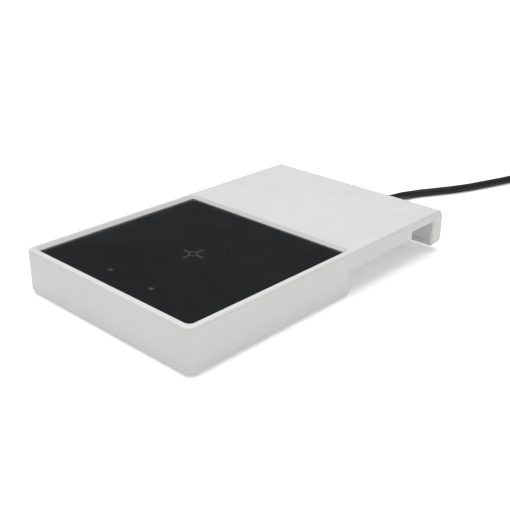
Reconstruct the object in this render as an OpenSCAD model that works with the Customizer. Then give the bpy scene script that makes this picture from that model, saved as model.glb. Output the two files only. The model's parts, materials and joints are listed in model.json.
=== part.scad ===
/* [Body] */
// Width of the pad, side to side
pad_w = 100; // [92:1:130]
// Depth from the front face to the back of the hook lip
total_d = 160; // [150:1:200]
// Depth of the thick front box
box_d = 92.5; // [86:0.5:98]
// Height of the housing without its feet
body_h = 19; // [18:0.5:26]
// Thickness of the housing's upright walls
wall = 2.5; // [2.2:0.1:3]
// Radius of the upright corners
corner_r = 3.5; // [2.5:0.1:5]
// Radius of the long edges
edge_r = 1.4; // [1:0.1:1.8]

/* [Rear plate and hook] */
// Thickness of the rear plate over the hook slot
plate_t = 4.1; // [4:0.1:5]
// Thickness of the plate's top skin
skin_t = 1.5; // [1.2:0.1:1.6]
// Height of the deeper part of the plate, next to the box
step_t = 3.9; // [3.4:0.1:4.6]
// Width of the hook slot
slot_w = 17.7; // [12:0.1:22]
// Thickness of the hook lip, front to back
lip_t = 7.8; // [7:0.1:10]
// Height of the hook lip, from the top face down
lip_h = 16.5; // [15:0.5:18]
// Radius of the lip's top rear edge
lip_top_r = 4.2; // [2.6:0.1:4.4]
// Radius of the lip's bottom rear edge
lip_foot_r = 2.6; // [2:0.1:4.2]
// Thickness of the cover that lines the hook
hook_cover_t = 1.2; // [1:0.1:1.2]

/* [Panel] */
// Flat rim between the side of the pad and the bevel
rim_w = 2.55; // [2.2:0.05:3.5]
// Flat strip between the bevel and the back of the box
rear_rim_w = 0.45; // [0.3:0.05:1.5]
// Depth of the panel's face below the rim, which is also the width of the bevel
recess = 1.4; // [0.8:0.1:1.8]
// Thickness of the panel
panel_t = 1.8; // [1.4:0.1:2.2]
// Radius of the panel's corners
panel_r = 1; // [0.8:0.1:2]
// Width of the ledge that the panel is bonded to
ledge_w = 1.95; // [1.5:0.05:2.5]
// Thickness of the ledge
ledge_t = 1.6; // [1.2:0.1:2]
// Thickness of the adhesive ring
glue_t = 0.2; // [0.1:0.05:0.3]
// Distance of the marks' middle to the right of the panel's middle
marks_x = 2; // [0:0.1:4]
// Distance of the cross in front of the panel's middle
cross_y = 1; // [0:0.1:4]
// Distance of the status marks from the front face
status_y = 13.5; // [12:0.1:16]
// Distance of each status mark from the marks' middle
status_x = 12.35; // [8:0.05:16]

/* [Charging coil] */
// Outside diameter of the coil
coil_d = 50; // [44:1:50]
// Diameter of the coil's middle
coil_in_d = 21; // [18:0.5:24]
// Thickness of the coil
coil_t = 2; // [1.4:0.1:2]
// Number of turns in the coil
coil_turns = 10; // [8:1:12]
// Side of the square ferrite sheet
ferrite_w = 53; // [51:0.5:53]
// Thickness of the ferrite sheet
ferrite_t = 2.2; // [1.8:0.1:2.2]
// Thickness of the coil carrier's plate
carrier_t = 1.5; // [1.2:0.1:1.6]
// Width of the coil carrier
carrier_w = 70; // [68:1:74]
// Thickness of the heat spreader
spreader_t = 0.8; // [0.5:0.1:0.8]

/* [Electronics] */
// Width of the main board
board_w = 46; // [42:1:46]
// Length of the main board
board_l = 78; // [76:0.5:79]
// Thickness of the main board
board_t = 1.6; // [1:0.2:1.6]
// Height of the board's posts
board_gap = 2.6; // [2:0.1:2.8]

/* [Base] */
// Thickness of the bottom cover
cover_t = 2.4; // [2.2:0.1:3]
// Height of the feet below the bottom cover
foot_h = 1; // [0.8:0.1:1.5]
// Diameter of the feet
foot_d = 9; // [7:0.5:12]
// Thickness of the rear cover
tray_t = 1.6; // [1.6:0.1:1.8]

/* [Cord] */
// Diameter of the cord
cord_d = 4.2; // [3.5:0.1:4.6]
// Height of the cord's exit above the bottom of the lip
exit_up = 6.5; // [6.2:0.1:6.8]
// Length of the strain relief behind the lip
relief_l = 7; // [6:0.5:12]

/* [Hidden] */
$fn = 48;
eps = 0.01;      // overlap that lets a cut run through a face
gap = 0.15;      // clearance between covers and the housing
tight_gap = 0.05; // clearance beside the hook cover, which shows
hull_fn = 32;    // facets of a hull's own children

// Planes along Y, from front to back
y_front = -total_d / 2;
y_rear = total_d / 2;
y_box = y_front + box_d;
y_lip = y_rear - lip_t;
y_step = y_lip - slot_w;
panel_in = rim_w + recess;                 // side of the pad to the panel's pocket
panel_rear_in = rear_rim_w + recess;       // back of the box to the panel's pocket
pocket_w = pad_w - 2 * panel_in;
pocket_d = box_d - panel_in - panel_rear_in;
pocket_y = y_front + panel_in + pocket_d / 2;

// Planes along Z, from the bottom up
z_base = foot_h;
z_top = foot_h + body_h;
z_panel_top = z_top - recess;
z_panel = z_panel_top - panel_t;
z_seat = z_panel - glue_t;
z_ledge = z_seat - ledge_t;
z_cover = z_base + cover_t;
z_board = z_cover + board_gap;
z_parts = z_board + board_t;
coil_gap = 0.4;
z_coil = z_panel - coil_gap - coil_t;
z_ferrite = z_coil - ferrite_t;
z_carrier = z_ferrite - carrier_t;
z_spreader = z_carrier - spreader_t;
z_plate = z_top - plate_t;
z_skin = z_top - skin_t;
z_tray = z_plate - step_t;
z_tray_in = z_tray + tray_t;
z_lip = z_top - lip_h;
lip_wall = 2.2;                            // rear wall of the lip
lip_edge_r = 1.4;
lip_floor = 2;                             // bottom wall of the lip
y_lip_in = y_rear - lip_wall;
inner_x = pad_w / 2 - wall;
plate_rib = 2.5;                           // web between the box's rear wall and the plate's hollow
step_wall = 2.2;                           // front wall of the hook slot
exit_z = z_lip + exit_up;

// Fasteners: M2.5 for the bottom cover, M2 elsewhere
big_r = 1.25;
big_head_r = 2.3;
big_head_h = 1.5;
big_l = 8;
small_r = 1;
small_head_r = 1.9;
small_head_h = 1.3;
low_head_h = 0.9;
boss_r = 3.5;
boss_in = boss_r - 0.5;                    // wall's inner face to the boss's axis
corner_x = inner_x - boss_in;
corner_y0 = y_front + wall + boss_in;
corner_y1 = y_box - wall - boss_in;
tray_screw_x = pad_w / 2 - 12;
tray_screw_y0 = y_box + 8;
tray_screw_y1 = y_step - 7;
tray_boss_r = 2.6;
tray_screw_l = 4.5;
hook_screw_x = 30;
hook_screw_z = exit_z;
hook_screw_l = 4;

// Inner layout
board_x = board_w / 2;
board_y0 = y_front + 7.5;
board_y1 = board_y0 + board_l;
board_hole_x = board_x - 3;
board_hole_y0 = board_y0 + 3;
board_hole_y1 = board_y1 - 3;
board_post_r = 2.5;
carrier_y0 = y_front + 8;
carrier_y1 = pocket_y + 31;
carrier_hole_x = carrier_w / 2 - 4;
carrier_hole_y0 = carrier_y0 + 3.5;
carrier_hole_y1 = carrier_y1 - 3.5;
carrier_post_r = 3;
fence_t = 1.5;                             // fence round the ferrite sheet
fence_h = 2;
lead_r = 0.6;
lead_x = 3;
lead_y = carrier_y1 - 1.3;
guide_r = 1.5;
guide_flange_r = 2.5;
guide_flange_h = 1;
guide_y = y_front + status_y;
led_h = 0.9;
wire_r = 0.55;
wire_pitch = 1.5;
wire_z = z_tray_in + wire_r + gap;         // wires on the rear cover
duct_z = (z_skin + z_plate + hook_cover_t) / 2;
wire_hole_w = 8;
connector_w = 9;
connector_d = 6;
connector_h = 5;
connector_y = board_y1 - 4;
relief_flange_r = 4;
relief_flange_t = 1.5;
relief_neck_r = 3.1;
relief_root_r = 3.6;
relief_tip_r = 2.6;
bore_r = relief_neck_r + gap;
foot_sink = 0.6;
foot_x = pad_w / 2 - 26;
foot_y0 = y_front + 13;
foot_y1 = y_box - 13;

// Rounded rectangle about the origin, made of squares and circles
module round_rect(w, d, r) {
    square([w - 2 * r, d], center = true);
    square([w, d - 2 * r], center = true);
    for (x = [-1, 1], y = [-1, 1])
        translate([x * (w / 2 - r), y * (d / 2 - r)])
            circle(r);
}

module block(w, d, h, r = 1) {
    linear_extrude(h)
        round_rect(w, d, r);
}

// Torus of outside radius r and edge radius e, which rounds a hull's corner
module ring(r, e) {
    rotate_extrude($fn = hull_fn)
        intersection() {
            translate([r - e, 0])
                circle(e, $fn = hull_fn);
            translate([0, -e])
                square([r, 2 * e]);
        }
}

// The rear edges run along X; each ends in the long edges' own radius
module edge_end(side, y, z, r) {
    translate([side * (pad_w / 2 - edge_r), y, z])
        rotate([0, 90, 0])
            ring(r, edge_r);
}

module outside() {
    corner_in = pad_w / 2 - corner_r;
    hull() {
        for (x = [-corner_in, corner_in]) {
            for (z = [z_base + edge_r, z_top - edge_r])
                translate([x, y_front + corner_r, z])
                    ring(corner_r, edge_r);
            translate([x, y_box - corner_r, z_base + edge_r])
                ring(corner_r, edge_r);
        }
        for (side = [-1, 1]) {
            edge_end(side, y_rear - lip_top_r, z_top - lip_top_r, lip_top_r);
            edge_end(side, y_rear - lip_foot_r, z_lip + lip_foot_r, lip_foot_r);
        }
    }
}

// The box with its lower edges rounded, a little wider than the outside
module box_core(skew) {
    corner_in = pad_w / 2 - corner_r + skew;
    hull()
        for (x = [-corner_in, corner_in], y = [y_front + 2 * corner_r, y_box - corner_r],
            z = [z_base + edge_r - skew, z_top])
            translate([x, y, z])
                ring(corner_r, edge_r);
}

// Space under the plate: the deep part's underside, then the hook slot up to the plate
module under_plate() {
    over = 10;
    y0 = y_box - corner_r;
    difference() {
        translate([-pad_w / 2 - over, y0, -1])
            cube([pad_w + 2 * over, y_step + 1 - y0, z_tray + 1]);
        box_core(0.02);
    }
    translate([-pad_w / 2 - over, y_step, -1])
        cube([pad_w + 2 * over, slot_w, z_plate + 1]);
    for (side = [0, 1])
        mirror([side, 0, 0])
            lip_edge_cut();
}

// Rounds the upright edge between the lip's inner face and its side
module lip_edge_cut() {
    skew = 0.03;
    translate([pad_w / 2 - lip_edge_r + skew, y_lip + lip_edge_r - skew, -1])
        linear_extrude(z_plate + 1)
            difference() {
                translate([0, -2 * lip_edge_r])
                    square(2 * lip_edge_r);
                circle(lip_edge_r);
            }
}

module boss(x, y, z, h, r) {
    translate([x, y, z])
        cylinder(r = r, h = h);
}

module box_hollow() {
    inside_d = box_d - 2 * wall;
    translate([0, y_front + box_d / 2, z_base - 1])
        block(2 * inner_x, inside_d, z_ledge - z_base + 1, 1.5);
    translate([0, pocket_y, z_base])
        block(pocket_w - 2 * ledge_w, pocket_d - 2 * ledge_w, body_h + 1, panel_r);
    translate([0, pocket_y, z_seat])
        block(pocket_w, pocket_d, glue_t + panel_t + 0.3, panel_r);
}

// The bevel's faces slope at 45 degrees, from the panel's face out to the rim
module bevel_cut() {
    run = 0.1;
    hull()
        for (h = [-run, recess + run])
            translate([0, pocket_y, z_panel_top + h])
                linear_extrude(eps, $fn = hull_fn)
                    round_rect(pocket_w + 2 * h, pocket_d + 2 * h, panel_r + 0.2 + h);
}

// Hollow of the plate, open under its deep part and over the hook slot, and of the lip
module plate_hollow() {
    y0 = y_box + plate_rib;
    y1 = y_step - step_wall;
    translate([-inner_x, y0, z_tray - 1])
        cube([2 * inner_x, y1 - y0, z_skin - z_tray + 1]);
    translate([-inner_x, y1 - 1, z_plate])
        cube([2 * inner_x, y_lip + 1 - y1, z_skin - z_plate]);
    translate([-inner_x, y_step + eps, z_plate - 1])
        cube([2 * inner_x, slot_w, z_skin - z_plate + 1]);
    translate([-inner_x, y_lip - 1, z_lip + lip_floor])
        cube([2 * inner_x, y_lip_in - y_lip + 1, z_skin - z_lip - lip_floor]);
}

// Hole through the box's rear wall for the supply wires
module wire_hole() {
    translate([-wire_hole_w / 2, y_box - wall - 1, z_tray_in + eps])
        cube([wire_hole_w, plate_rib + wall + 2, z_ledge - z_tray_in - 2 * eps]);
}

module housing_bosses() {
    for (x = [-corner_x, corner_x], y = [corner_y0, corner_y1])
        boss(x, y, z_cover + gap, z_ledge + ledge_t / 2 - z_cover - gap, boss_r);
    for (x = [-tray_screw_x, tray_screw_x], y = [tray_screw_y0, tray_screw_y1])
        boss(x, y, z_tray_in + gap, z_skin - z_tray_in, tray_boss_r);
    for (x = [-hook_screw_x, hook_screw_x])
        translate([x, y_lip + hook_cover_t + gap, hook_screw_z])
            rotate([-90, 0, 0])
                cylinder(r = tray_boss_r, h = y_lip_in - y_lip - hook_cover_t + 0.5);
}

module housing_pilots() {
    for (x = [-corner_x, corner_x], y = [corner_y0, corner_y1])
        translate([x, y, z_cover])
            cylinder(r = big_r, h = big_l - 0.6);
    for (x = [-tray_screw_x, tray_screw_x], y = [tray_screw_y0, tray_screw_y1])
        translate([x, y, z_tray_in])
            cylinder(r = small_r, h = tray_screw_l - 0.3);
    for (x = [-hook_screw_x, hook_screw_x])
        translate([x, y_lip + hook_cover_t, hook_screw_z])
            rotate([-90, 0, 0])
                cylinder(r = small_r, h = hook_screw_l);
}

module housing() {
    color("#e9ebec")
        difference() {
            union() {
                difference() {
                    outside();
                    under_plate();
                    box_hollow();
                    plate_hollow();
                    bevel_cut();
                }
                housing_bosses();
            }
            housing_pilots();
            wire_hole();
            translate([0, y_lip_in - 1, exit_z])
                rotate([-90, 0, 0])
                    cylinder(r = bore_r, h = lip_wall + 2);
        }
}

module bottom_cover() {
    w = 2 * inner_x - 2 * gap;
    d = box_d - 2 * wall - 2 * gap;
    color("#d9dbdc")
        difference() {
            union() {
                translate([0, y_front + box_d / 2, z_base])
                    block(w, d, cover_t, 1.5 - gap);
                for (x = [-board_hole_x, board_hole_x], y = [board_hole_y0, board_hole_y1])
                    boss(x, y, z_cover - eps, board_gap + eps, board_post_r);
                for (x = [-carrier_hole_x, carrier_hole_x], y = [carrier_hole_y0, carrier_hole_y1])
                    boss(x, y, z_cover - eps, z_carrier - z_cover + eps, carrier_post_r);
            }
            for (x = [-corner_x, corner_x], y = [corner_y0, corner_y1]) {
                translate([x, y, z_base - eps])
                    cylinder(r = big_head_r + gap, h = big_head_h + 2 * eps);
                translate([x, y, z_base])
                    cylinder(r = big_r + gap, h = cover_t + 1);
            }
            for (x = [-foot_x, foot_x], y = [foot_y0, foot_y1])
                translate([x, y, z_base - eps])
                    cylinder(d = foot_d + 2 * gap, h = foot_sink + eps);
            for (x = [-board_hole_x, board_hole_x], y = [board_hole_y0, board_hole_y1])
                translate([x, y, z_board - 3])
                    cylinder(r = small_r, h = 4);
            for (x = [-carrier_hole_x, carrier_hole_x], y = [carrier_hole_y0, carrier_hole_y1])
                translate([x, y, z_carrier - 5])
                    cylinder(r = small_r, h = 6);
        }
}

module rear_cover() {
    w = 2 * inner_x - 2 * gap;
    y0 = y_box + plate_rib + gap;
    color("#d3d6d8")
        difference() {
            translate([-w / 2, y0, z_tray])
                cube([w, y_step - step_wall - gap - y0, tray_t]);
            for (x = [-tray_screw_x, tray_screw_x], y = [tray_screw_y0, tray_screw_y1])
                translate([x, y, z_tray]) {
                    translate([0, 0, -eps])
                        cylinder(r = small_head_r + gap, h = low_head_h + 2 * eps);
                    cylinder(r = small_r + gap, h = tray_t + 1);
                }
        }
}

module hook_cover() {
    w = 2 * inner_x - 2 * tight_gap;
    y0 = y_step + gap;
    leg_z = z_lip + lip_floor + gap;
    color("#d3d6d8")
        difference() {
            union() {
                translate([-w / 2, y0, z_plate])
                    cube([w, y_lip + hook_cover_t - y0, hook_cover_t]);
                translate([-w / 2, y_lip, leg_z])
                    cube([w, hook_cover_t, z_plate + hook_cover_t - leg_z]);
            }
            for (x = [-hook_screw_x, hook_screw_x])
                translate([x, y_lip, hook_screw_z])
                    rotate([-90, 0, 0]) {
                        translate([0, 0, -eps])
                            cylinder(r1 = small_head_r + gap, r2 = small_r + gap, h = low_head_h + 2 * eps);
                        cylinder(r = small_r + gap, h = hook_cover_t + 1);
                    }
        }
}

panel_w = pocket_w - 2 * gap;
panel_d = pocket_d - 2 * gap;
mark_t = 0.1;           // depth of the marks in the panel's face
ring_r = 2.3;           // cross-hair ring, outside
ring_in_r = 1.6;
arm_w = 1.1;
arm_r = 6;
dot_r = 1.1;
dash_w = 2.6;
dash_d = 1.4;

module centre_mark_outline() {
    difference() {
        circle(ring_r);
        circle(ring_in_r);
    }
    for (a = [0, 90, 180, 270])
        rotate(a)
            translate([ring_r - 0.1, -arm_w / 2])
                square([arm_r - ring_r, arm_w]);
}

module status_outline() {
    translate([marks_x - status_x, guide_y])
        round_rect(dash_w, dash_d, dash_d / 2 - 0.1);
    translate([marks_x + status_x, guide_y])
        circle(dot_r);
}

module panel() {
    color("#17191b")
        difference() {
            translate([0, pocket_y, z_panel])
                block(panel_w, panel_d, panel_t, panel_r - gap);
            translate([marks_x, pocket_y - cross_y, z_panel_top - mark_t])
                linear_extrude(1)
                    centre_mark_outline();
            translate([0, 0, z_panel_top - mark_t])
                linear_extrude(1)
                    status_outline();
        }
}

module panel_adhesive() {
    color("#8f9296")
        translate([0, pocket_y, z_seat])
            difference() {
                block(panel_w, panel_d, glue_t, panel_r - gap);
                translate([0, 0, -1])
                    block(pocket_w - 2 * ledge_w, pocket_d - 2 * ledge_w, glue_t + 2, panel_r);
            }
}

module centre_mark() {
    color("#6d7174")
        translate([marks_x, pocket_y - cross_y, z_panel_top - mark_t])
            linear_extrude(mark_t)
                centre_mark_outline();
}

module status_marks() {
    color("#8b9094")
        translate([0, 0, z_panel_top - mark_t])
            linear_extrude(mark_t)
                status_outline();
}

module light_guides() {
    z0 = z_parts + led_h + 0.3;
    color("#dfe8ee", 0.6)
        for (x = [marks_x - status_x, marks_x + status_x])
            translate([x, guide_y, 0]) {
                translate([0, 0, z0])
                    cylinder(r = guide_r, h = z_panel - gap - z0);
                translate([0, 0, z_ferrite])
                    cylinder(r = guide_flange_r, h = guide_flange_h);
            }
}

// One turn shows as one ridge of the coil's section
module charging_coil() {
    turn = (coil_d - coil_in_d) / 2 / coil_turns;
    ridge = 0.25;
    color("#b5673a")
        translate([0, pocket_y, z_coil])
            rotate_extrude($fn = 96) {
                translate([coil_in_d / 2, ridge])
                    square([(coil_d - coil_in_d) / 2, coil_t - 2 * ridge]);
                for (k = [0:coil_turns - 1])
                    translate([coil_in_d / 2 + (k + 0.15) * turn, 0])
                        square([0.7 * turn, coil_t]);
            }
}

module coil_leads() {
    outer_y = pocket_y + coil_d / 2 - 0.2;
    inner_y = pocket_y + coil_in_d / 2 + 1;
    outer_z = z_coil + coil_t / 2;
    inner_z = z_coil - lead_r - 0.1;
    color("#c98c3f") {
        lead(lead_x, outer_y + 0.5, outer_z);
        lead(-lead_x, inner_y, inner_z);
    }
}

module lead(x, y, z) {
    translate([x, y, z])
        rotate([-90, 0, 0])
            cylinder(r = lead_r, h = lead_y - y);
    translate([x, lead_y, z])
        sphere(lead_r);
    translate([x, lead_y, z_parts])
        cylinder(r = lead_r, h = z - z_parts);
}

module temperature_sensor() {
    color("#2c2f31")
        translate([0, pocket_y, 0]) {
            translate([0, 0, z_ferrite + 0.2])
                cylinder(r = 1.4, h = z_coil + 1.2 - z_ferrite);
            for (x = [-0.7, 0.7])
                translate([x, 0, z_parts])
                    cylinder(r = 0.3, h = z_ferrite + 0.4 - z_parts, $fn = 24);
        }
}

module ferrite_sheet() {
    color("#3a3d40")
        difference() {
            translate([0, pocket_y, z_ferrite])
                block(ferrite_w, ferrite_w, ferrite_t - 0.02, 2);
            translate([0, pocket_y, z_ferrite - 1])
                cylinder(r = 2, h = ferrite_t + 2);
            translate([-lead_x - lead_r - 0.2, pocket_y + coil_in_d / 2, z_coil - 2 * lead_r - 0.3])
                cube([2 * lead_r + 0.4, ferrite_w, 2 * lead_r + 1]);
        }
}

module coil_carrier() {
    d = carrier_y1 - carrier_y0;
    fence = ferrite_w + 2 * gap;
    color("#c9cdd0")
        difference() {
            union() {
                translate([0, (carrier_y0 + carrier_y1) / 2, z_carrier])
                    block(carrier_w, d, carrier_t, 2);
                translate([0, pocket_y, z_ferrite - eps])
                    block(fence + 2 * fence_t, fence + 2 * fence_t, fence_h + eps, 2);
            }
            translate([0, pocket_y, z_ferrite])
                block(fence, fence, fence_h + 1, 2);
            translate([0, pocket_y, z_carrier - 1])
                cylinder(r = 2, h = carrier_t + 2);
            translate([-2 * lead_x, pocket_y + fence / 2 - 1, z_ferrite])
                cube([4 * lead_x, fence_t + 2, fence_h + 1]);
            translate([-2 * lead_x, lead_y - 1.4, z_carrier - 1])
                cube([4 * lead_x, 5, fence_h + carrier_t + 2]);
            for (x = [marks_x - status_x, marks_x + status_x])
                translate([x, guide_y, z_carrier - 1])
                    cylinder(r = guide_r + gap, h = carrier_t + 2);
            for (x = [-carrier_hole_x, carrier_hole_x], y = [carrier_hole_y0, carrier_hole_y1])
                translate([x, y, z_carrier - 1])
                    cylinder(r = small_r + gap, h = carrier_t + 2);
        }
}

module heat_spreader() {
    color("#b9bdc1")
        difference() {
            translate([0, pocket_y, z_spreader])
                block(board_w + 2, ferrite_w - 5, spreader_t - 0.02, 2);
            translate([0, pocket_y, z_spreader - 1])
                cylinder(r = 2, h = spreader_t + 2);
        }
}

// Board parts stand at these places, measured from the coil's axis
chip_w = 6;
chip_h = 0.9;
bridge_x = -13;
bridge_y = 12;
bridge_w = 5;
bridge_l = 6;
bridge_h = 1;
bridge_pitch = 7;

module thermal_pad() {
    color("#9fb4c4")
        translate([bridge_x, pocket_y + bridge_y, z_parts + bridge_h])
            block(bridge_pitch + bridge_w + 1, bridge_pitch + bridge_l + 1,
                z_spreader - z_parts - bridge_h, 0.5);
}

module main_board() {
    color("#1f6b45")
        difference() {
            translate([0, (board_y0 + board_y1) / 2, z_board])
                block(board_w, board_l, board_t, 1.5);
            for (x = [-board_hole_x, board_hole_x], y = [board_hole_y0, board_hole_y1])
                translate([x, y, z_board - 1])
                    cylinder(r = small_r + gap, h = board_t + 2);
        }
}

// Pan-head screw that points down from z, the underside of its head
module pan_screw(x, y, z, l, r, head_r, head_h) {
    translate([x, y, z])
        difference() {
            cylinder(r = head_r, h = head_h);
            for (a = [0, 90])
                rotate(a)
                    translate([-head_r * 0.55, -0.25, head_h - 0.5])
                        cube([head_r * 1.1, 0.5, 1]);
        }
    translate([x, y, z - l])
        cylinder(r = r - 0.05, h = l + eps);
}

module board_screws() {
    color("#a9adb1")
        for (x = [-board_hole_x, board_hole_x], y = [board_hole_y0, board_hole_y1])
            pan_screw(x, y, z_parts, 4, small_r, small_head_r, small_head_h);
}

module carrier_screws() {
    color("#a9adb1")
        for (x = [-carrier_hole_x, carrier_hole_x], y = [carrier_hole_y0, carrier_hole_y1])
            pan_screw(x, y, z_ferrite, 6, small_r, small_head_r, small_head_h);
}

module bottom_cover_screws() {
    color("#a9adb1")
        for (x = [-corner_x, corner_x], y = [corner_y0, corner_y1])
            translate([x, y, z_base + big_head_h])
                mirror([0, 0, 1])
                    pan_screw(0, 0, 0, big_l, big_r, big_head_r, big_head_h);
}

module rear_cover_screws() {
    color("#a9adb1")
        for (x = [-tray_screw_x, tray_screw_x], y = [tray_screw_y0, tray_screw_y1])
            translate([x, y, z_tray + low_head_h])
                mirror([0, 0, 1])
                    pan_screw(0, 0, 0, tray_screw_l, small_r, small_head_r, low_head_h);
}

module hook_cover_screws() {
    color("#a9adb1")
        for (x = [-hook_screw_x, hook_screw_x])
            translate([x, y_lip, hook_screw_z])
                rotate([-90, 0, 0])
                    difference() {
                        union() {
                            cylinder(r1 = small_head_r, r2 = small_r - 0.05, h = low_head_h);
                            cylinder(r = small_r - 0.05, h = hook_screw_l);
                        }
                        for (a = [0, 90])
                            rotate(a)
                                translate([-1, -0.25, -1])
                                    cube([2, 0.5, 1.4]);
                    }
}

module controller_chip() {
    color("#26282a")
        translate([9, pocket_y - 8, z_parts])
            block(chip_w, chip_w, chip_h, 0.2);
}

module bridge_transistors() {
    color("#303336")
        for (x = [-0.5, 0.5], y = [-0.5, 0.5])
            translate([bridge_x + x * bridge_pitch, pocket_y + bridge_y + y * bridge_pitch, z_parts])
                block(bridge_w, bridge_l, bridge_h, 0.2);
}

module resonant_capacitors() {
    color("#9a6b46")
        for (k = [0:3])
            translate([-17 + 6.5 * k, pocket_y - 20, z_parts])
                block(3.2, 4.5, 1.8, 0.2);
}

module input_capacitors() {
    color("#9a6b46")
        for (k = [0:2])
            translate([13, pocket_y + 16 + 5 * k, z_parts])
                block(3.2, 2.5, 1.6, 0.2);
}

module power_inductor() {
    color("#4a4d50")
        translate([8, pocket_y + 4, z_parts])
            block(7, 7, 2.1, 1.5);
}

module indicator_leds() {
    color("#f3f0d8")
        for (x = [marks_x - status_x, marks_x + status_x])
            translate([x, guide_y, z_parts])
                block(2, 1.3, led_h, 0.2);
}

module wire_connector() {
    color("#efeee8")
        translate([0, connector_y, z_parts])
            difference() {
                block(connector_w, connector_d, connector_h, 0.4);
                translate([-connector_w / 2 + 1, -1, 1.2])
                    cube([connector_w - 2, connector_d, connector_h - 2.2]);
            }
}

// A tube swept along its own points, with a round section across the way it runs
function unit(v) = v / norm(v);
function way(p, k) = unit(p[min(k + 1, len(p) - 1)] - p[max(k - 1, 0)]);
function ring_at(p, k, r, n, side) =
    let (w = way(p, k), a = is_undef(side) ? unit(cross(w, [0, 0, 1])) : side, b = cross(a, w))
    [for (i = [0:n - 1]) p[k] + r * (cos(360 * i / n) * a + sin(360 * i / n) * b)];

module swept(p, r, n = 8, side = undef) {
    m = len(p);
    points = [for (k = [0:m - 1]) each ring_at(p, k, r, n, side)];
    sides = [for (k = [0:m - 2], i = [0:n - 1]) let (j = (i + 1) % n)
        [k * n + i, k * n + j, (k + 1) * n + j, (k + 1) * n + i]];
    first = [for (i = [0:n - 1]) n - 1 - i];
    last = [for (i = [0:n - 1]) (m - 1) * n + i];
    polyhedron(points, concat(sides, [first, last]));
}

// Corner points of a route, each turned into a short curve that starts c before it
function curved(p, c) = concat([p[0]],
    [for (k = [1:len(p) - 2])
        let (a = p[k] - c * unit(p[k] - p[k - 1]), b = p[k] + c * unit(p[k + 1] - p[k]))
        each [a, a / 4 + p[k] / 2 + b / 4, b]],
    [p[len(p) - 1]]);

module supply_wires() {
    y_up = y_lip_in - relief_flange_t - 1;
    y_down = y_step - 4;
    y_in = y_box - wall - 1.6;
    plug_in_z = z_parts + connector_h / 2 + 0.1;
    color("#b03a34")
        for (k = [-1.5:1:1.5])
            translate([k * wire_pitch, 0, 0])
                swept(curved([
                    [0, y_lip_in - relief_flange_t, exit_z],
                    [0, y_up, exit_z],
                    [0, y_up, duct_z],
                    [0, y_down + 2, duct_z],
                    [0, y_down - 3, wire_z],
                    [0, y_in, wire_z],
                    [0, y_in, plug_in_z],
                    [0, connector_y + connector_d / 2 - 0.9, plug_in_z]], 0.8), wire_r, 8, [1, 0, 0]);
}

module rubber_feet() {
    color("#55585b")
        for (x = [-foot_x, foot_x], y = [foot_y0, foot_y1])
            translate([x, y, 0]) {
                cylinder(d1 = foot_d - 1, d2 = foot_d, h = 0.5);
                translate([0, 0, 0.5])
                    cylinder(d = foot_d, h = foot_h + foot_sink - 0.5);
            }
}

// Flange inside the lip, neck in its bore, tapered sleeve with grooves behind it
module strain_relief() {
    grooves = 4;
    sleeve_y = relief_l / (grooves + 1);
    color("#1d1f21")
        translate([0, y_rear, exit_z])
            rotate([-90, 0, 0])
                difference() {
                    union() {
                        translate([0, 0, -lip_wall - relief_flange_t])
                            cylinder(r = relief_flange_r, h = relief_flange_t - 0.05);
                        translate([0, 0, -lip_wall - 0.1])
                            cylinder(r = relief_neck_r, h = lip_wall + 0.2);
                        translate([0, 0, 0.02])
                            cylinder(r1 = relief_root_r, r2 = relief_tip_r, h = relief_l - 0.02);
                    }
                    for (k = [1:grooves])
                        translate([0, 0, k * sleeve_y])
                            difference() {
                                cylinder(r = relief_root_r + 1, h = 0.8);
                                translate([0, 0, -1])
                                    cylinder(r = relief_root_r - 0.5 - k * 0.18, h = 3);
                            }
                }
}

// Route of the cord: all of it starts at the tip of the strain relief
tip_y = y_rear + relief_l;
rest_z = cord_d / 2;

// Height of the cord's middle when f of its drop from the exit is still to come
function above(f) = rest_z + f * (exit_z - rest_z);

end_x = 30.4;
end_y = 110.7;
route = [[0, 0, exit_z], [0, 3, exit_z], [0, 7.5, above(0.88)], [0, 11.5, above(0.7)],
    [0, 15.5, above(0.51)], [0, 19.5, above(0.34)], [0, 23.5, above(0.23)],
    [0, 27.5, above(0.16)], [0, 31.5, above(0.11)], [0.3, 35.5, above(0.05)],
    [1.3, 39.9, rest_z], [3.8, 45.6, rest_z], [6.8, 50.9, rest_z], [9.8, 56.3, rest_z],
    [12.8, 61.7, rest_z], [15.6, 67.5, rest_z], [18.3, 73.6, rest_z], [20.7, 80.4, rest_z],
    [23.1, 87.2, rest_z], [25.5, 94.2, rest_z], [27.6, 101, rest_z], [end_x, end_y, rest_z]];
bundle_cols = 3;
bundle_rows = 2;
bundle_in_r = 15.5;
bundle_r = bundle_in_r + bundle_cols * cord_d;
coil_reach = bundle_r + 0.87 * rest_z + 0.15;      // cord's end to the coil's axis
coil_x = end_x + 0.975 * coil_reach;
coil_y = end_y + 0.224 * coil_reach;

// The tail leaves the coil's outer column towards the front and comes level at the plug
plug_z = 4;
tail_x = coil_x + bundle_r - cord_d / 2;
tail_y = coil_y - sqrt(pow(bundle_r, 2) - pow(bundle_r - cord_d, 2)) - 0.15;
tail_l = 14;
tail_route = [[tail_x, tail_y, plug_z + 1.2], [tail_x, tail_y - 4, plug_z + 0.8],
    [tail_x, tail_y - 8, plug_z + 0.25], [tail_x, tail_y - 11, plug_z],
    [tail_x, tail_y - tail_l, plug_z]];

module cord() {
    color("#151618")
        translate([0, tip_y, 0])
            swept(route, cord_d / 2);
}

// All the turns of the coil as one closed shape
module cord_coil() {
    w = bundle_cols * cord_d;
    h = bundle_rows * cord_d;
    color("#151618")
        translate([coil_x, tip_y + coil_y, 0])
            rotate_extrude($fn = 64)
                translate([bundle_in_r + w / 2, h / 2])
                    round_rect(w, h, rest_z - 0.1);
}

module cord_tail() {
    color("#151618")
        translate([0, tip_y, 0])
            swept(tail_route, cord_d / 2);
}

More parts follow.
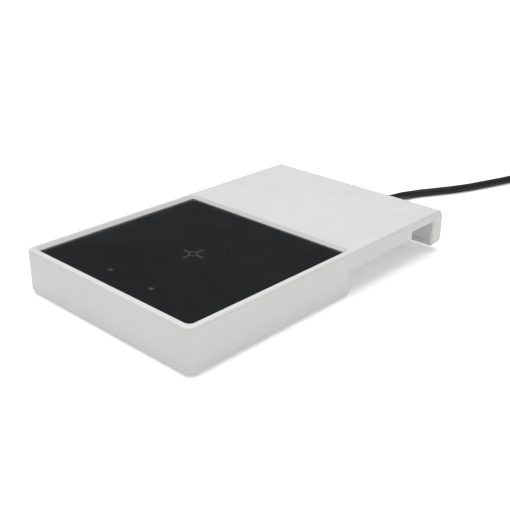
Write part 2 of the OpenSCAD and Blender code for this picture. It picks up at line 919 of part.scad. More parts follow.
// USB plug, lying flat, its shell pointing to the front
plug_y = tail_y - tail_l;
boot_l = 8;
grip_w = 15.6;
grip_h = 8;
grip_l = 22;
shell_w = 12;
shell_h = 4.5;
shell_l = 12;
shell_t = 0.3;
tongue_h = 1.9;

module plug_frame() {
    translate([tail_x, tip_y + plug_y, plug_z])
        rotate([90, 0, 0])
            children();
}

module plug_body() {
    color("#1b1d1f")
        plug_frame() {
            cylinder(r1 = 2.5, r2 = 3.4, h = boot_l + eps);
            translate([0, 0, boot_l])
                block(grip_w, grip_h, grip_l, 2);
        }
}

module plug_shell() {
    color("#c8cbce")
        plug_frame()
            translate([0, 0, boot_l + grip_l])
                difference() {
                    block(shell_w, shell_h, shell_l, 0.4);
                    translate([0, 0, -1])
                        block(shell_w - 2 * shell_t, shell_h - 2 * shell_t, shell_l + 2, 0.2);
                    for (x = [-3, 3])
                        translate([x - 1.1, -shell_h, 5])
                            cube([2.2, 2 * shell_h, 2.2]);
                }
}

module plug_tongue() {
    color("#f2f2f0")
        plug_frame()
            translate([-5.5, shell_h / 2 - shell_t - tongue_h - 0.05, boot_l + grip_l])
                cube([11, tongue_h, shell_l - 1]);
}

module plug_contacts() {
    color("#c9a24b")
        plug_frame()
            for (k = [-1.5:1:1.5])
                translate([k * 2.4 - 0.5, shell_h / 2 - shell_t - tongue_h - 0.25, boot_l + grip_l])
                    cube([1, 0.18, shell_l - 2]);
}

housing();
bottom_cover();
rear_cover();
hook_cover();
panel();
panel_adhesive();
centre_mark();
status_marks();
light_guides();
charging_coil();
coil_leads();
temperature_sensor();
ferrite_sheet();
coil_carrier();
carrier_screws();
heat_spreader();
thermal_pad();
main_board();
board_screws();
controller_chip();
bridge_transistors();
resonant_capacitors();
input_capacitors();
power_inductor();
indicator_leds();
wire_connector();
supply_wires();
bottom_cover_screws();
rear_cover_screws();
hook_cover_screws();
rubber_feet();
strain_relief();
cord();
cord_coil();
cord_tail();
plug_body();
plug_shell();
plug_tongue();
plug_contacts();
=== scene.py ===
"""Looks of the hook-on wireless charging pad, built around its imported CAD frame.

Metres with +Z up. Sizes and profiles given as plain numbers in a section marked mm are scaled
by MM where they are used.
"""

import json
import math

import bmesh
import bpy
from mathutils import Matrix, Vector


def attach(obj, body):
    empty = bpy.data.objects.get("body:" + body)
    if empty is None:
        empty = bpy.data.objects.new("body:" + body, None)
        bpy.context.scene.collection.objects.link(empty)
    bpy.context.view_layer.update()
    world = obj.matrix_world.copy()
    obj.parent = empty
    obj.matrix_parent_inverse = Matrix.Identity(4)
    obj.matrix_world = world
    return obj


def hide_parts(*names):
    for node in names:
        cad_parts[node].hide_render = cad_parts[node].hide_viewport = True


MM = 0.001

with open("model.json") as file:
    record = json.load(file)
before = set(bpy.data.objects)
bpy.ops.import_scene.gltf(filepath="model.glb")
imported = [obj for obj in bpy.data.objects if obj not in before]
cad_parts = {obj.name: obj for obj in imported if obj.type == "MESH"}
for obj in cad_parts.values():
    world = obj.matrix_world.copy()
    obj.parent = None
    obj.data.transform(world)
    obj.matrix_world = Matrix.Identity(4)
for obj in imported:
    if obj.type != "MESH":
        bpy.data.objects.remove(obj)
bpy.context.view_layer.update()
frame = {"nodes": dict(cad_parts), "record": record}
nodes = frame["nodes"]

# ---------------------------------------------------------------- camera

AZIMUTH = math.radians(43.37)  # of the camera about the pad, from -Y towards +X
ELEVATION = math.radians(24.16)
ROLL = math.radians(0.27)
DISTANCE = 374.66 * MM
AIM = Vector((0.0, 0.0, 11.0)) * MM
AIM_RIGHT = 3.67 * MM  # moves the camera sideways and leaves its direction as it is
AIM_UP = -4.04 * MM
LENS = 59.83  # mm
SENSOR = 36.0  # mm
CLIP_START, CLIP_END = 0.01, 50.0


def add_camera():
    """A camera that looks down at the pad from its front right."""
    sa, ca = math.sin(AZIMUTH), math.cos(AZIMUTH)
    se, ce = math.sin(ELEVATION), math.cos(ELEVATION)
    back = Vector((sa * ce, -ca * ce, se))
    level = Vector((ca, sa, 0.0))
    above = back.cross(level)
    right = level * math.cos(ROLL) + above * math.sin(ROLL)
    up = above * math.cos(ROLL) - level * math.sin(ROLL)
    place = AIM + right * AIM_RIGHT + up * AIM_UP + back * DISTANCE
    data = bpy.data.cameras.new("camera")
    data.lens = LENS
    data.sensor_width = SENSOR
    data.clip_start = CLIP_START
    data.clip_end = CLIP_END
    camera = bpy.data.objects.new("camera", data)
    bpy.context.scene.collection.objects.link(camera)
    camera.matrix_world = Matrix(
        (
            (right.x, up.x, back.x, place.x),
            (right.y, up.y, back.y, place.y),
            (right.z, up.z, back.z, place.z),
            (0.0, 0.0, 0.0, 1.0),
        )
    )
    bpy.context.scene.camera = camera


# ---------------------------------------------------------------- node materials

NOISE_MIDDLE = (0.3, 0.7)  # the stretch of a noise over which its effect goes from end to end


class Look:
    """A Principled material: colour, roughness and bump come from noise in object coordinates."""

    def __init__(self, name, roughness, metallic=0.0, specular=0.5):
        self.material = bpy.data.materials.new(name)
        self.material.use_nodes = True
        self.tree = self.material.node_tree
        self.shader = self.tree.nodes["Principled BSDF"]
        self.shader.inputs["Roughness"].default_value = roughness
        self.shader.inputs["Metallic"].default_value = metallic
        self.shader.inputs["Specular IOR Level"].default_value = specular
        self.coordinates = self.tree.nodes.new("ShaderNodeTexCoord")

    def link(self, a, b):
        self.tree.links.new(a, b)

    def noise(self, size, detail=3.0, rough=0.55, stretch=None):
        """Noise whose features are about size metres across; stretch scales it along X, Y and Z."""
        node = self.tree.nodes.new("ShaderNodeTexNoise")
        node.inputs["Scale"].default_value = 1.0 / size
        node.inputs["Detail"].default_value = detail
        node.inputs["Roughness"].default_value = rough
        source = self.coordinates.outputs["Object"]
        if stretch:
            mapping = self.tree.nodes.new("ShaderNodeMapping")
            mapping.inputs["Scale"].default_value = stretch
            self.link(source, mapping.inputs["Vector"])
            source = mapping.outputs["Vector"]
        self.link(source, node.inputs["Vector"])
        return node.outputs["Fac"]

    def cells(self, size):
        """Distance to the middle of cells about size metres across."""
        node = self.tree.nodes.new("ShaderNodeTexVoronoi")
        node.inputs["Scale"].default_value = 1.0 / size
        self.link(self.coordinates.outputs["Object"], node.inputs["Vector"])
        return node.outputs["Distance"]

    def colour(self, value, dark, light):
        node = self.tree.nodes.new("ShaderNodeValToRGB")
        for stop, place, tone in zip(node.color_ramp.elements, NOISE_MIDDLE, (dark, light)):
            stop.position = place
            stop.color = (*tone, 1.0)
        self.link(value, node.inputs["Fac"])
        self.link(node.outputs["Color"], self.shader.inputs["Base Color"])

    def rough(self, value, low, high):
        node = self.tree.nodes.new("ShaderNodeMapRange")
        sockets = ("From Min", "From Max", "To Min", "To Max")
        for socket, number in zip(sockets, (*NOISE_MIDDLE, low, high)):
            node.inputs[socket].default_value = number
        self.link(value, node.inputs["Value"])
        self.link(node.outputs["Result"], self.shader.inputs["Roughness"])

    def bump(self, value, depth, strength=1.0):
        """Bump of depth metres, on top of any bump that is there."""
        node = self.tree.nodes.new("ShaderNodeBump")
        node.inputs["Distance"].default_value = depth
        node.inputs["Strength"].default_value = strength
        self.link(value, node.inputs["Height"])
        previous = self.shader.inputs["Normal"].links
        if previous:
            self.link(previous[0].from_socket, node.inputs["Normal"])
        self.link(node.outputs["Normal"], self.shader.inputs["Normal"])


def shades(colour, factors):
    """The colour at each of the factors, such as its darker and lighter patches."""
    return [tuple(min(1.0, c * factor) for c in colour) for factor in factors]


CLOUD = 28 * MM  # faint cloudy tone of moulded plastic
GLOSS_PATCH = 9 * MM  # its patches of uneven gloss
SMUDGE = 0.06  # what they add to its roughness or take off it
PIT_RATIO, PIT_SHARE = 2.4, 0.5  # its pits: size and depth as shares of its grain's


def moulded(name, colour, roughness, grain, depth, spread=0.03):
    """Moulded plastic: spark-eroded grain, faint cloudy tone and uneven gloss."""
    look = Look(name, roughness)
    look.colour(look.noise(CLOUD, detail=4.0), *shades(colour, (1 - spread, 1 + spread)))
    look.rough(look.noise(GLOSS_PATCH, detail=5.0), roughness - SMUDGE, roughness + SMUDGE)
    look.bump(look.noise(grain, detail=2.0), depth)
    look.bump(look.cells(grain * PIT_RATIO), depth * PIT_SHARE)
    return look.material


TARNISH = 3 * MM  # uneven tone of bare metal
METAL_TONES = (0.88, 1.06)
METAL_GLOSS = (-0.08, 0.1)
BRUSH_GRAIN, BRUSH_DEPTH = 0.6 * MM, 0.004 * MM


def metal(name, colour, roughness, brush=(1.0, 1.0, 1.0)):
    """Bare metal with a fine grain, which brush stretches along X, Y and Z."""
    look = Look(name, roughness, metallic=1.0)
    look.colour(look.noise(TARNISH, detail=4.0), *shades(colour, METAL_TONES))
    fine = look.noise(BRUSH_GRAIN, detail=4.0, stretch=brush)
    look.rough(fine, *(roughness + more for more in METAL_GLOSS))
    look.bump(fine, BRUSH_DEPTH)
    return look.material


BLOOM = 6 * MM  # uneven tone of rubber
RUB = 2.5 * MM  # its patches of uneven gloss
RUBBER_TONES = (0.82, 1.22)
RUBBER_GLOSS = (-0.08, 0.08)


def rubber(name, colour, roughness, grain=0.25 * MM, depth=0.012 * MM):
    """Rubber, foam or a soft jacket: dull, mottled and finely pitted."""
    look = Look(name, roughness, specular=0.35)
    look.colour(look.noise(BLOOM, detail=5.0), *shades(colour, RUBBER_TONES))
    look.rough(look.noise(RUB, detail=4.0), *(roughness + more for more in RUBBER_GLOSS))
    look.bump(look.noise(grain, detail=3.0), depth)
    return look.material


WHITE = (0.587, 0.59, 0.584)
COVER_WHITE = (0.575, 0.58, 0.582)
PANEL_BLACK = (0.0068, 0.008, 0.0092)
MARK_GREY = (0.015, 0.0158, 0.0165)
CORD_BLACK = (0.013, 0.013, 0.014)
PLUG_BLACK = (0.022, 0.022, 0.024)
MASK_GREENS = (0.008, 0.075, 0.035), (0.014, 0.12, 0.058)
COPPERS = (0.42, 0.17, 0.07), (0.72, 0.34, 0.15)
CLEARS = (0.75, 0.82, 0.86), (0.9, 0.95, 0.98)


def panel_look():
    """Dark panel glass: deep gloss, with the faint haze and dust of a handled surface."""
    look = Look("panel_glass", 0.16, specular=0.32)
    look.colour(look.noise(30 * MM, detail=3.0), *shades(PANEL_BLACK, (0.85, 1.25)))
    look.rough(look.noise(14 * MM, detail=6.0, rough=0.65), low=0.11, high=0.22)
    look.bump(look.noise(22 * MM, detail=1.0), depth=0.01 * MM, strength=0.5)
    return look.material


def cord_look():
    """Extruded jacket: a fine texture and a little uneven gloss."""
    look = Look("cord_jacket", 0.5, specular=0.2)
    look.colour(look.noise(12 * MM, detail=5.0), *shades(CORD_BLACK, (0.8, 1.35)))
    look.rough(look.noise(4 * MM, detail=4.0), low=0.38, high=0.54)
    look.bump(look.noise(0.5 * MM, detail=3.0), depth=0.015 * MM)
    return look.material


def board_look():
    """Solder mask: mottled green, with cells for the tracks and pads under it."""
    look = Look("solder_mask", 0.32)
    look.colour(look.noise(7 * MM, detail=5.0), *MASK_GREENS)
    look.rough(look.noise(2 * MM, detail=4.0), low=0.25, high=0.4)
    look.bump(look.cells(1.6 * MM), depth=0.02 * MM)
    return look.material


def coil_look():
    """Enamelled wire: one fine noise stands for its strands."""
    look = Look("coil_wire", 0.34, metallic=0.9)
    strands = look.noise(0.35 * MM, detail=3.0)
    look.colour(strands, *COPPERS)
    look.rough(strands, low=0.26, high=0.46)
    look.bump(strands, depth=0.03 * MM)
    return look.material


def clear_look():
    """Clear plastic, a little milky."""
    look = Look("light_guide_clear", 0.2)
    look.shader.inputs["Transmission Weight"].default_value = 0.75
    look.colour(look.noise(1.5 * MM), *CLEARS)
    look.rough(look.noise(1 * MM), low=0.14, high=0.3)
    return look.material


def make_looks():
    """Materials by slot. moulded takes roughness, grain, the grain's depth and spread of tone."""
    brown, cream, lens = (0.24, 0.12, 0.06), (0.72, 0.7, 0.62), (0.72, 0.68, 0.4)
    aluminium, nickel = (0.7, 0.71, 0.72), (0.66, 0.67, 0.68)
    return {
        "housing": moulded("housing_white", WHITE, 0.42, 0.32 * MM, 0.012 * MM, 0.012),
        "covers": moulded("cover_white", COVER_WHITE, 0.5, 0.4 * MM, 0.018 * MM, 0.02),
        "panel": panel_look(),
        "adhesive": rubber("adhesive_foam", (0.08, 0.08, 0.085), 0.75, 0.4 * MM),
        "marks": moulded("printed_mark", MARK_GREY, 0.5, 0.2 * MM, 0.002 * MM, 0.05),
        "light_guide": clear_look(),
        "copper": coil_look(),
        "ferrite": moulded("ferrite_black", (0.03, 0.03, 0.033), 0.6, 0.3 * MM, 0.03 * MM, 0.2),
        "carrier": moulded("carrier_plastic", (0.42, 0.43, 0.44), 0.5, 0.4 * MM, 0.02 * MM),
        "screws": metal("screw_steel", (0.56, 0.57, 0.58), 0.3),
        "spreader": metal("spreader_sheet", aluminium, 0.34, brush=(0.2, 4.0, 1.0)),
        "thermal_pad": rubber("thermal_pad_soft", (0.2, 0.28, 0.34), 0.7),
        "board": board_look(),
        "chips": moulded("chip_black", (0.02, 0.02, 0.022), 0.5, 0.12 * MM, 0.01 * MM, 0.15),
        "capacitors": moulded("ceramic_brown", brown, 0.45, 0.2 * MM, 0.01 * MM, 0.15),
        "leds": moulded("led_lens", lens, 0.25, 0.2 * MM, 0.003 * MM, 0.05),
        "connector": moulded("connector_cream", cream, 0.45, 0.3 * MM, 0.01 * MM, 0.04),
        "wires": rubber("wire_red", (0.36, 0.03, 0.025), 0.45),
        "feet": rubber("foot_rubber", (0.10, 0.105, 0.11), 0.75, 0.3 * MM, 0.03 * MM),
        "cord": cord_look(),
        "plug": moulded("plug_black", PLUG_BLACK, 0.45, 0.25 * MM, 0.015 * MM, 0.1),
        "plug_metal": metal("plug_shell_metal", nickel, 0.24, brush=(4.0, 0.3, 1.0)),
        "contacts": metal("contact_gold", (0.78, 0.55, 0.2), 0.25),
    }


# ---------------------------------------------------------------- shaping helpers


def new_object(name, bm, look, smooth_angle=32.0):
    """An object from bm on the CAD body, smooth but for edges sharper than smooth_angle."""
    bmesh.ops.recalc_face_normals(bm, faces=bm.faces)
    mesh = bpy.data.meshes.new(name)
    bm.to_mesh(mesh)
    bm.free()
    mesh.polygons.foreach_set("use_smooth", [True] * len(mesh.polygons))
    mesh.set_sharp_from_angle(angle=math.radians(smooth_angle))
    mesh.materials.append(look)
    obj = bpy.data.objects.new(name, mesh)
    bpy.context.scene.collection.objects.link(obj)
    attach(obj, "root")
    return obj


WELD = 2e-6  # points closer than this become one
SLIVER = 1e-6
FLAT = math.radians(0.6)  # faces that meet at less than this become one
HARD = math.radians(50.0)  # edges sharper than this are softened
BEVEL_SEGMENTS = 2
BEVEL_PROFILE = 0.6


def refined(node, bevel, look, least=0.0):
    """The CAD node rebuilt with clean flat faces and its hard edges softened by bevel metres.

    With least, only edges longer than it are softened, and their bevels aren't clamped.
    """
    bm = bmesh.new()
    source = nodes[node].data
    verts = [bm.verts.new(v.co) for v in source.vertices]
    for polygon in source.polygons:
        corners = [verts[i] for i in polygon.vertices]
        if len(set(corners)) == len(corners) and not bm.faces.get(corners):
            bm.faces.new(corners)
    bmesh.ops.remove_doubles(bm, verts=bm.verts, dist=WELD)
    bmesh.ops.dissolve_degenerate(bm, dist=SLIVER, edges=bm.edges)
    bmesh.ops.dissolve_limit(
        bm, angle_limit=FLAT, use_dissolve_boundaries=False, verts=bm.verts, edges=bm.edges
    )
    hard = [
        e
        for e in bm.edges
        if len(e.link_faces) == 2 and e.calc_length() > least and e.calc_face_angle(0.0) > HARD
    ]
    bmesh.ops.bevel(
        bm, geom=hard, offset=bevel, offset_type="OFFSET", segments=BEVEL_SEGMENTS,
        profile=BEVEL_PROFILE, affect="EDGES", clamp_overlap=least == 0.0, loop_slide=True,
    )
    bmesh.ops.dissolve_degenerate(bm, dist=SLIVER, edges=bm.edges)
    obj = new_object(node + "_shown", bm, look)
    weighted = obj.modifiers.new("weighted_normals", "WEIGHTED_NORMAL")
    weighted.keep_sharp = True
    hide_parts(node)
    return obj


ON_AXIS = 1e-7  # a smaller radius than this is a single point


def lathe(bm, profile, frame_matrix, steps):
    """A closed solid of revolution: profile is (radius, height) pairs from axis to axis."""
    rings = []
    for radius, height in profile:
        count = 1 if radius < ON_AXIS else steps
        turns = [2 * math.pi * k / steps for k in range(count)]
        places = [Vector((radius * math.cos(a), radius * math.sin(a), height)) for a in turns]
        rings.append([bm.verts.new(frame_matrix @ place) for place in places])
    skin(bm, rings)


def skin(bm, rings):
    """Faces between each ring of vertices and the next; a ring of one vertex is a pole."""
    for a, b in zip(rings, rings[1:]):
        count = max(len(a), len(b))
        for k in range(count):
            n = (k + 1) % count
            loop = [a[k % len(a)], a[n % len(a)], b[n % len(b)], b[k % len(b)]]
            bm.faces.new(list(dict.fromkeys(loop)))


CORNERS = ((1, 1), (-1, 1), (-1, -1), (1, -1))


def rounded_outline(width, depth, radius, steps):
    """Points of a rounded rectangle about the origin, with steps edges to a corner."""
    points = []
    for quarter, (sx, sy) in enumerate(CORNERS):
        for k in range(steps + 1):
            angle = math.pi / 2 * (quarter + k / steps)
            points.append(
                (
                    sx * (width / 2 - radius) + radius * math.cos(angle),
                    sy * (depth / 2 - radius) + radius * math.sin(angle),
                )
            )
    return points


def lofted(bm, sections, frame_matrix, steps):
    """A closed solid through rounded rectangles: sections are (width, depth, radius, height)."""
    rings = [
        [
            bm.verts.new(frame_matrix @ Vector((x, y, height)))
            for x, y in rounded_outline(width, depth, radius, steps)
        ]
        for width, depth, radius, height in sections
    ]
    skin(bm, rings)
    bm.faces.new(list(reversed(rings[0])))
    bm.faces.new(rings[-1])


# ---------------------------------------------------------------- cord, in mm

CORD_D = 4.2 * MM
PITCH = 4.2  # one diameter from turn to turn
REST = 2.1  # height of the cord's axis where it lies on the floor
EXIT = Vector((0.0, 80.0, 10.0)) * MM
LEAD = (
    (0, 87, 10), (0, 90, 10), (0, 94.5, 9.05), (0, 98.5, 7.63), (0, 102.5, 6.13), (0, 106.5, 4.79),
    (0, 110.5, 3.92), (0, 114.5, 3.36), (0, 118.5, 2.97), (0.3, 122.5, 2.5), (1.3, 126.9, REST),
    (3.8, 132.6, REST), (6.8, 137.9, REST), (9.8, 143.3, REST), (12.8, 148.7, REST),
    (15.6, 154.5, REST), (18.3, 160.6, REST), (20.7, 167.4, REST), (23.1, 174.2, REST),
    (25.5, 181.2, REST), (27.6, 188, REST), (30.4, 197.7, REST),
)
COIL_CENTRE = (59.7, 204.4)
COIL_RADII = (26.0, 21.8)  # of the turns on the floor, from the outside in
COIL_START = 163.0  # where the cord meets its coil, in degrees from +X
WHOLE_TURNS = 5
COIL_STEP = 7.5  # degrees from point to point
STEP_FROM, STEP_SPAN = 180.0, 180.0  # degrees of each turn over which it steps to the next
TAIL_X = 85.7
TAIL = tuple(
    (TAIL_X, y, z)
    for y, z in (
        (196.5, 6.2), (189.5, 5.2), (185.5, 4.8), (181.5, 4.25), (178.5, 4), (175.5, 4), (174, 4),
    )
)
SPLINE_STEPS = 5
SHARED = 3  # points of the coil that the lead's curve runs on into, so that they meet smoothly
CORD_RESOLUTION = 5


def coil_place(turned):
    """Radius and height of the coil's line after it has turned through that many degrees.

    Two turns on the floor wind inwards. The third climbs over them, still a diameter from the
    second, and the rest wind outwards on top.
    """
    turn, within = divmod(turned, 360.0)
    turn = int(turn)
    part = min(1.0, max(0.0, (within - STEP_FROM) / STEP_SPAN))
    t = part**3 * (6 * part**2 - 15 * part + 10)  # smooth, with no kink at either end
    above_floor = turn - len(COIL_RADII)
    if above_floor < 0:
        return COIL_RADII[turn] - PITCH * t, REST
    climb = math.pi / 2 * t
    below = COIL_RADII[-1] - PITCH * t
    ramp_radius = below - PITCH * math.cos(climb)
    ramp_height = REST + PITCH * math.sin(climb)
    if above_floor == 0:
        return ramp_radius, ramp_height
    over = ramp_radius + math.sqrt(max(0.0, PITCH**2 - (REST + PITCH - ramp_height) ** 2))
    return over + PITCH * (above_floor - 1), REST + PITCH


def coil_points():
    """Places along the coil, which ends after its whole turns on the +X side."""
    end = COIL_START + WHOLE_TURNS * 360.0
    points = []
    for k in range(int(end / COIL_STEP) + 1):
        turned = min(end, k * COIL_STEP)
        radius, height = coil_place(turned)
        angle = math.radians(COIL_START - turned)
        points.append(
            (
                COIL_CENTRE[0] + radius * math.cos(angle),
                COIL_CENTRE[1] + radius * math.sin(angle),
                height,
            )
        )
    return points


def spline(points, steps):
    """Centripetal Catmull-Rom curve through the points."""
    p = [Vector(q) for q in points]
    p = [p[0] * 2 - p[1], *p, p[-1] * 2 - p[-2]]
    out = []
    for a, b, c, d in zip(p, p[1:], p[2:], p[3:]):
        t0 = 0.0
        t1 = t0 + math.sqrt((b - a).length)
        t2 = t1 + math.sqrt((c - b).length)
        t3 = t2 + math.sqrt((d - c).length)
        for k in range(steps):
            t = t1 + (t2 - t1) * k / steps
            a1 = a * ((t1 - t) / (t1 - t0)) + b * ((t - t0) / (t1 - t0))
            a2 = b * ((t2 - t) / (t2 - t1)) + c * ((t - t1) / (t2 - t1))
            a3 = c * ((t3 - t) / (t3 - t2)) + d * ((t - t2) / (t3 - t2))
            b1 = a1 * ((t2 - t) / (t2 - t0)) + a2 * ((t - t0) / (t2 - t0))
            b2 = a2 * ((t3 - t) / (t3 - t1)) + a3 * ((t - t1) / (t3 - t1))
            out.append(b1 * ((t2 - t) / (t2 - t1)) + b2 * ((t - t1) / (t2 - t1)))
    out.append(p[-2])
    return out


def add_cord(look):
    """The whole cord as one curve: from the strain relief, through its coil, to the plug."""
    coil = coil_points()
    lead = spline([*LEAD, *coil[:SHARED]], SPLINE_STEPS)
    joined = lead[: SPLINE_STEPS * len(LEAD)] + [Vector(q) for q in coil[:-1]]
    joined += spline([coil[-1], *TAIL], SPLINE_STEPS)
    points = [q * MM for q in joined]
    data = bpy.data.curves.new("cord_shown", "CURVE")
    data.dimensions = "3D"
    data.bevel_depth = CORD_D / 2
    data.bevel_resolution = CORD_RESOLUTION
    data.use_fill_caps = True
    line = data.splines.new("POLY")
    line.points.add(len(points) - 1)
    for point, q in zip(line.points, points):
        point.co = (*q, 1.0)
    line.use_smooth = True
    data.materials.append(look)
    cord = bpy.data.objects.new("cord_shown", data)
    bpy.context.scene.collection.objects.link(cord)
    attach(cord, "root")
    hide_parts("cord", "cord_coil", "cord_tail")
    return cord


RELIEF_ROOT = 3.6
RELIEF_TIP = 2.6
RELIEF_LENGTH = 7.0
RELIEF_RIBS = 4
RELIEF_SIDES = 56
RELIEF_OFF = 0.02  # clear of the lip's face
RIB_SHARE = 0.66  # of the length from rib to rib
GROOVE_DEPTH = 0.62
GROOVE_SLOPES = (0.1, 0.08)  # between a groove's floor and the ribs before and after it
# the part inside the lip: flange, neck and the step at the lip's face
RELIEF_INSIDE = ((0.0, -3.7), (4.0, -3.7), (4.0, -2.3), (3.1, -2.25), (3.1, 0.02), (3.3, 0.02))
RELIEF_END = 2.28
# a rib's rounded outline: place along it as a share, and radius added
RIB = ((0.03, -0.22), (0.12, -0.06), (0.25, 0.0), (0.75, 0.0), (0.88, -0.06), (0.97, -0.22))


def add_strain_relief(look):
    """Ribbed sleeve: rounded rings on a thinner core, flange and neck inside the lip."""
    profile = list(RELIEF_INSIDE)
    pitch = RELIEF_LENGTH / RELIEF_RIBS
    last = RELIEF_RIBS - 1
    for k in range(RELIEF_RIBS):
        start = k * pitch
        outer = RELIEF_ROOT + (RELIEF_TIP - RELIEF_ROOT) * k / last
        rib = pitch * RIB_SHARE if k < last else pitch
        for part, radius in RIB:
            profile.append((outer + radius, start + rib * part + RELIEF_OFF))
        if k < last:
            core = outer - GROOVE_DEPTH
            floor = (start + rib + GROOVE_SLOPES[0], start + pitch - GROOVE_SLOPES[1])
            profile += [(core, height) for height in floor]
    top = RELIEF_LENGTH + RELIEF_OFF
    profile += [(RELIEF_END, top), (0.0, top)]
    bm = bmesh.new()
    turn = Matrix.Rotation(-math.pi / 2, 4, "X")
    place = Matrix.Translation(EXIT) @ turn @ Matrix.Scale(MM, 4)
    lathe(bm, profile, place, RELIEF_SIDES)
    sleeve = new_object("strain_relief_shown", bm, look, smooth_angle=40.0)
    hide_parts("strain_relief")
    return sleeve


PLUG_AT = Vector((TAIL_X, 175.5, 4.0)) * MM
BOOT = 8.0
BOOT_SIDES = 40
BOOT_START = ((0.0, 0.0), (2.3, 0.0), (2.5, 0.2))
BOOT_END = ((3.4, BOOT + 0.5), (0.0, BOOT + 0.5))
BOOT_RINGS, RING_FIRST, RING_PITCH = 4, 0.8, 1.9
RING_R, RING_GROWTH = 2.62, 0.2
# a ring's outline: radius added, and place along the boot from the ring's start
RING = ((-0.3, 0.0), (-0.3, 0.45), (0.0, 0.7), (0.08, 1.25), (0.0, 1.75))
GRIP = (15.6, 8.0, 22.0)
GRIP_R = 2.0
GRIP_CORNER_STEPS = 6
GRIP_CORNER_SHARE = 0.6  # of an inset that the grip's corner radius loses
END_STEPS = 4
REAR_EDGE, FRONT_EDGE = 0.9, 0.5
GROOVES, GROOVE_FIRST, GROOVE_PITCH = 5, 5.0, 1.7
# a grip groove: place along the plug from its middle, and depth
GROOVE = ((-0.55, 0.0), (-0.3, 0.28), (0.3, 0.28), (0.55, 0.0))
SIDE_SHARE = 0.4  # of a groove's depth that its narrow sides have


def plug_matrix():
    """Plug's own axes: Z along it, away from the cord; X across; Y up."""
    turn = Matrix.Rotation(math.pi / 2, 4, "X")
    return Matrix.Translation(PLUG_AT) @ turn @ Matrix.Scale(MM, 4)


def add_plug_body(look):
    """Ringed boot round the cord, and a grip with rounded ends and grooves across it."""
    bm = bmesh.new()
    profile = list(BOOT_START)
    for k in range(BOOT_RINGS):
        start, radius = RING_FIRST + RING_PITCH * k, RING_R + RING_GROWTH * k
        profile += [(radius + more, start + along) for more, along in RING]
    profile += BOOT_END
    lathe(bm, profile, plug_matrix(), BOOT_SIDES)

    width, height, length = GRIP
    sections = []

    def rounded(inset, place):
        radius = GRIP_R - inset * GRIP_CORNER_SHARE
        sections.append((width - 2 * inset, height - 2 * inset, radius, place))

    angles = [math.pi / 2 * k / END_STEPS for k in range(END_STEPS + 1)]
    for angle in angles:
        rounded(REAR_EDGE * (1 - math.sin(angle)), BOOT + REAR_EDGE * (1 - math.cos(angle)))
    for k in range(GROOVES):
        middle = BOOT + GROOVE_FIRST + GROOVE_PITCH * k
        for offset, inset in GROOVE:
            size = (width - 2 * inset, height - SIDE_SHARE * inset)
            sections.append((*size, GRIP_R, middle + offset))
    front = BOOT + length - FRONT_EDGE
    for angle in angles:
        rounded(FRONT_EDGE * (1 - math.cos(angle)), front + FRONT_EDGE * math.sin(angle))
    lofted(bm, sections, plug_matrix(), GRIP_CORNER_STEPS)
    body = new_object("plug_body_shown", bm, look, smooth_angle=35.0)
    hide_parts("plug_body")
    return body


# ---------------------------------------------------------------- panel and feet, in mm

PANEL_X = 91.8
PANEL_Y0, PANEL_Y1 = -75.9, 10.5
PANEL_Z0, PANEL_Z1 = 16.8, 18.58
PANEL_EDGE = 0.3
PANEL_R = 0.9
PANEL_CORNER_STEPS = 8
# from the bottom up: taken off each of width and depth, off the corner's radius, and the height
PANEL_SECTIONS = (
    (0.2, 0.1, PANEL_Z0),
    (0.0, 0.0, PANEL_Z0 + 0.1),
    (0.0, 0.0, PANEL_Z1 - PANEL_EDGE),
    (0.06, 0.0, PANEL_Z1 - PANEL_EDGE + 0.04),
    (2 * PANEL_EDGE - 0.06, 0.25, PANEL_Z1 - 0.04),
    (2 * PANEL_EDGE + 0.05, 0.3, PANEL_Z1),
)


def add_panel(look):
    """Glass slab whose top edge is ground off at an angle."""
    depth = PANEL_Y1 - PANEL_Y0
    middle = Vector((0, (PANEL_Y0 + PANEL_Y1) / 2, 0)) * MM
    sections = [
        (PANEL_X - less, depth - less, PANEL_R - rounder, height)
        for less, rounder, height in PANEL_SECTIONS
    ]
    bm = bmesh.new()
    lofted(bm, sections, Matrix.Translation(middle) @ Matrix.Scale(MM, 4), PANEL_CORNER_STEPS)
    panel = new_object("panel_shown", bm, look, smooth_angle=30.0)
    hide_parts("panel")


FOOT_X = 24.0
FOOT_YS = (-67.0, -0.5)
FOOT_SIDES = 40
# half a foot's section from the middle of its sole, with two shallow rings, to its hidden top
FOOT_PROFILE = (
    (0.0, 0.12), (1.1, 0.12), (1.3, 0.0), (2.1, 0.0), (2.3, 0.12), (2.9, 0.12), (3.1, 0.0),
    (3.9, 0.0), (4.25, 0.12), (4.45, 0.4), (4.5, 0.7), (4.5, 1.55), (4.3, 1.6), (0.0, 1.6),
)


def add_feet(look):
    """Four rubber discs with a rounded rim and two shallow rings moulded in the sole."""
    bm = bmesh.new()
    for x in (-FOOT_X, FOOT_X):
        for y in FOOT_YS:
            place = Matrix.Translation(Vector((x, y, 0)) * MM) @ Matrix.Scale(MM, 4)
            lathe(bm, FOOT_PROFILE, place, FOOT_SIDES)
    feet = new_object("rubber_feet_shown", bm, look, smooth_angle=40.0)
    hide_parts("rubber_feet")


# ---------------------------------------------------------------- stage

FLOOR_HALF = 6.0
FLOOR_GREYS = (0.90, 0.90, 0.90), (0.92, 0.92, 0.92)
FLOOR_GLOW = 0.24
SKY_TONES = (0.1, 0.61)
SKY_RISE = (0.55, 0.85)  # heights in the dome where its tone starts and stops rising
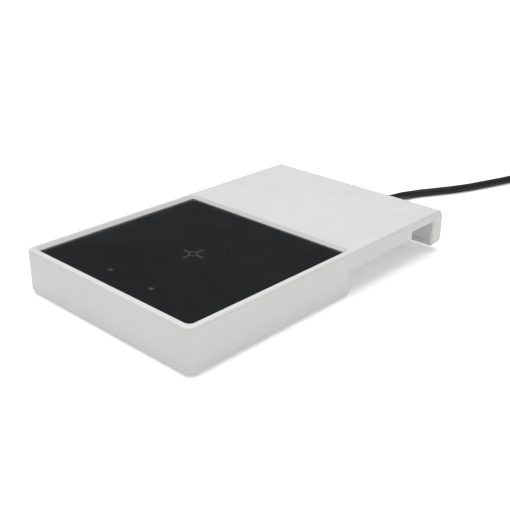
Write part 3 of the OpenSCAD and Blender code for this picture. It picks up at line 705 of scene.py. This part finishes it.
# name, place, aim, size, watts and colour
LIGHTS = (
    ("overhead", (-0.25, 0.1, 1.3), (0, 0, 0), (1.6, 1.6), 23.0, (1.0, 1.0, 1.0)),
    ("front_left", (-0.75, -1.1, 0.5), (0, 0, 0), (1.0, 0.8), 0.9, (0.97, 0.985, 1.0)),
    ("right", (0.75, -0.38, 0.42), (0, -0.02, 0), (0.5, 0.5), 1.6, (1.0, 0.985, 0.96)),
)


def area_light(name, place, aim, size, power, colour):
    data = bpy.data.lights.new(name, "AREA")
    data.shape = "RECTANGLE"
    data.size, data.size_y = size
    data.energy = power
    data.color = colour
    light = bpy.data.objects.new(name, data)
    bpy.context.scene.collection.objects.link(light)
    light.location = place
    light.rotation_euler = (Vector(aim) - Vector(place)).to_track_quat("-Z", "Y").to_euler()


def add_sky():
    """A dome that is dim near the horizon, which keeps the dark glass dark, and bright overhead."""
    world = bpy.data.worlds.new("studio")
    bpy.context.scene.world = world
    world.use_nodes = True
    tree = world.node_tree
    coordinates = tree.nodes.new("ShaderNodeTexCoord")
    parts = tree.nodes.new("ShaderNodeSeparateXYZ")
    ramp = tree.nodes.new("ShaderNodeValToRGB")
    ramp.color_ramp.interpolation = "EASE"
    for stop, place, tone in zip(ramp.color_ramp.elements, SKY_RISE, SKY_TONES):
        stop.position = place
        stop.color = (tone, tone, tone, 1.0)
    tree.links.new(coordinates.outputs["Generated"], parts.inputs["Vector"])
    tree.links.new(parts.outputs["Z"], ramp.inputs["Fac"])
    tree.links.new(ramp.outputs["Color"], tree.nodes["Background"].inputs["Color"])


def add_stage():
    """Pale floor, sky and three soft lights."""
    bm = bmesh.new()
    bm.faces.new([bm.verts.new((x * FLOOR_HALF, y * FLOOR_HALF, 0.0)) for x, y in CORNERS])
    mesh = bpy.data.meshes.new("floor")
    bm.to_mesh(mesh)
    bm.free()
    look = Look("floor_pale", 0.9, specular=0.1)
    look.colour(look.noise(0.6, detail=2.0), *FLOOR_GREYS)
    look.shader.inputs["Emission Color"].default_value = (1.0, 1.0, 1.0, 1.0)
    look.shader.inputs["Emission Strength"].default_value = FLOOR_GLOW
    mesh.materials.append(look.material)
    floor = bpy.data.objects.new("floor", mesh)
    bpy.context.scene.collection.objects.link(floor)
    add_sky()
    for light in LIGHTS:
        area_light(*light)
    bpy.context.scene.view_settings.view_transform = "Standard"


# ---------------------------------------------------------------- build

add_camera()
looks = make_looks()
cord = add_cord(looks["cord"])
sleeve = add_strain_relief(looks["cord"])
plug = add_plug_body(looks["plug"])
shell = refined("plug_shell", 0.08 * MM, looks["plug_metal"])

refined("housing", 0.15 * MM, looks["housing"], least=3 * MM)
refined("bottom_cover", 0.12 * MM, looks["covers"])
refined("rear_cover", 0.2 * MM, looks["covers"])
refined("hook_cover", 0.05 * MM, looks["housing"])
add_panel(looks["panel"])
add_feet(looks["feet"])

# the CAD nodes that still show, inside and out, take the material of their slot
slots = {s["node"]: s["material_slot"] for s in frame["record"]["subparts"]}
for name, node in nodes.items():
    if not node.hide_render:
        node.data.materials.clear()
        node.data.materials.append(looks[slots[name]])

add_stage()

bpy.context.view_layer.update()
